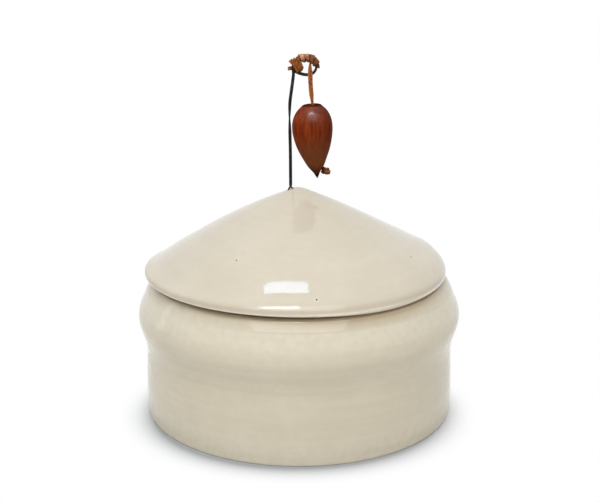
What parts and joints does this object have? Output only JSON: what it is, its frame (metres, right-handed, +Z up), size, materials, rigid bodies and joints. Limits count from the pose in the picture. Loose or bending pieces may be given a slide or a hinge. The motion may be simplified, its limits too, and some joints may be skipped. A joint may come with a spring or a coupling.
{
  "type": "lidded jar",
  "caption": "Round glazed porcelain jar with a bulging shoulder and a loose conical lid, lifted by a twisted wire handle with a leather lace and a hanging wooden bead.",
  "frame": {"origin": "centre of the jar's foot, on the surface it stands on", "axes": "+Z up; the pictured side faces -Y; the handle's eye and the bead hang towards +X"},
  "size_m": [0.16, 0.16, 0.1748],
  "materials": {
    "jar_glaze": "glossy cream glaze",
    "lid_glaze": "glossy cream glaze",
    "black_wire": "blackened steel wire, dull",
    "leather": "smooth flat lace, orange brown",
    "dark_leather": "smooth flat lace, dark brown",
    "stained_wood": "turned, red-brown stain, satin"
  },
  "bodies": {
    "jar": {"jar_body": "jar_glaze"},
    "lid": {"lid": "lid_glaze", "wire_handle": "black_wire", "lace_hitch": "leather", "lace_wrap": "dark_leather", "lace_bridge": "leather"},
    "lace_link": {"lace_link": "leather"},
    "bead": {"lace_drop": "leather", "bead": "stained_wood", "stopper_knot": "leather"}
  },
  "joints": [
    {"name": "lid_lift", "type": "slide", "parent": "jar", "child": "lid", "axis": [0, 0, 1], "range_m": [0, 0.12]},
    {"name": "lace_swing", "type": "hinge", "parent": "lid", "child": "lace_link", "pos_m": [0.0052, -0.0036, 0.1637], "axis": [-1, 0, 0], "range_deg": [-60, 75]},
    {"name": "lace_sway", "type": "hinge", "parent": "lace_link", "child": "bead", "pos_m": [0.00545, -0.0036, 0.1595], "axis": [0, -1, 0], "range_deg": [0, 60]}
  ]
}
